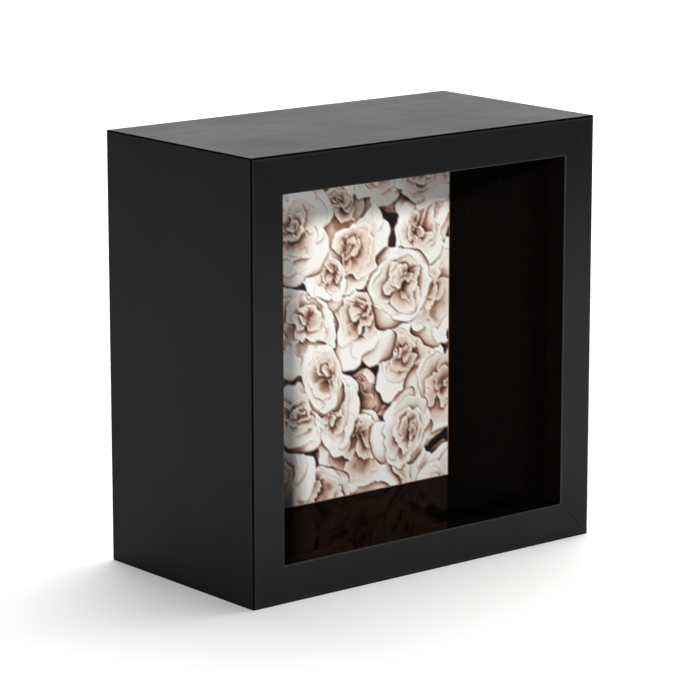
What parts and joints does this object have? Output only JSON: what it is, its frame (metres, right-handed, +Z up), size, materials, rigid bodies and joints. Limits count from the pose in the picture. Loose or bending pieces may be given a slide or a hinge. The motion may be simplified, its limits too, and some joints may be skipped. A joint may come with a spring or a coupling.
{
  "type": "shadow box display frame",
  "caption": "Deep square shadow box with mitred black rails, a glass front over a display space, a rose print at the back and a removable backing board held by bend tabs.",
  "frame": {"origin": "centre of the whole box's footprint at its base, so midway between the front face and the rear bumpers' ends", "axes": "+X to the right as seen from the front, +Y from the window to the back, +Z up"},
  "size_m": [0.2292, 0.1238, 0.2292],
  "materials": {
    "black_foil": "satin black foil wrapped over moulded fibreboard",
    "liner_black": "smooth satin black face on thin fibreboard",
    "clear_glass": "clear float glass",
    "rose_print": "matt printed paper, a dense bed of cream and blush roses",
    "raw_board": "raw brown fibreboard",
    "black_steel": "blackened spring steel strip",
    "bright_steel": "zinc-plated steel",
    "brass_plate": "brass-plated steel",
    "felt": "dark grey pressed felt"
  },
  "bodies": {
    "frame": {"top_rail": "black_foil", "bottom_rail": "black_foil", "left_rail": "black_foil", "right_rail": "black_foil", "corner_v_nails": "bright_steel", "glass_pane": "clear_glass", "liner_top": "liner_black", "liner_bottom": "liner_black", "liner_left": "liner_black", "liner_right": "liner_black", "tab_anchors": "black_steel", "sawtooth_hanger": "brass_plate", "hanger_nails": "brass_plate", "wall_bumpers": "felt"},
    "back_panel": {"backing_board": "raw_board", "picture_print": "rose_print"},
    "tab_top_left": {"flex_tab_top_left": "black_steel"},
    "tab_top_right": {"flex_tab_top_right": "black_steel"},
    "tab_bottom_left": {"flex_tab_bottom_left": "black_steel"},
    "tab_bottom_right": {"flex_tab_bottom_right": "black_steel"},
    "tab_left_upper": {"flex_tab_left_upper": "black_steel"},
    "tab_left_lower": {"flex_tab_left_lower": "black_steel"},
    "tab_right_upper": {"flex_tab_right_upper": "black_steel"},
    "tab_right_lower": {"flex_tab_right_lower": "black_steel"}
  },
  "joints": [
    {"name": "back_panel_slide", "type": "slide", "parent": "frame", "child": "back_panel", "axis": [0, 1, 0], "range_m": [0, 0.12]},
    {"name": "tab_top_left_bend", "type": "hinge", "parent": "frame", "child": "tab_top_left", "pos_m": [-0.055, 0.03845, 0.21688], "axis": [-1, 0, 0], "range_deg": [0, 90]},
    {"name": "tab_top_right_bend", "type": "hinge", "parent": "frame", "child": "tab_top_right", "pos_m": [0.055, 0.03845, 0.21688], "axis": [-1, 0, 0], "range_deg": [0, 90]},
    {"name": "tab_bottom_left_bend", "type": "hinge", "parent": "frame", "child": "tab_bottom_left", "pos_m": [-0.055, 0.03845, 0.01232], "axis": [1, 0, 0], "range_deg": [0, 90]},
    {"name": "tab_bottom_right_bend", "type": "hinge", "parent": "frame", "child": "tab_bottom_right", "pos_m": [0.055, 0.03845, 0.01232], "axis": [1, 0, 0], "range_deg": [0, 90]},
    {"name": "tab_left_upper_bend", "type": "hinge", "parent": "frame", "child": "tab_left_upper", "pos_m": [-0.10228, 0.03845, 0.1696], "axis": [0, 0, -1], "range_deg": [0, 90]},
    {"name": "tab_left_lower_bend", "type": "hinge", "parent": "frame", "child": "tab_left_lower", "pos_m": [-0.10228, 0.03845, 0.0596], "axis": [0, 0, -1], "range_deg": [0, 90]},
    {"name": "tab_right_upper_bend", "type": "hinge", "parent": "frame", "child": "tab_right_upper", "pos_m": [0.10228, 0.03845, 0.1696], "axis": [0, 0, 1], "range_deg": [0, 90]},
    {"name": "tab_right_lower_bend", "type": "hinge", "parent": "frame", "child": "tab_right_lower", "pos_m": [0.10228, 0.03845, 0.0596], "axis": [0, 0, 1], "range_deg": [0, 90]}
  ]
}
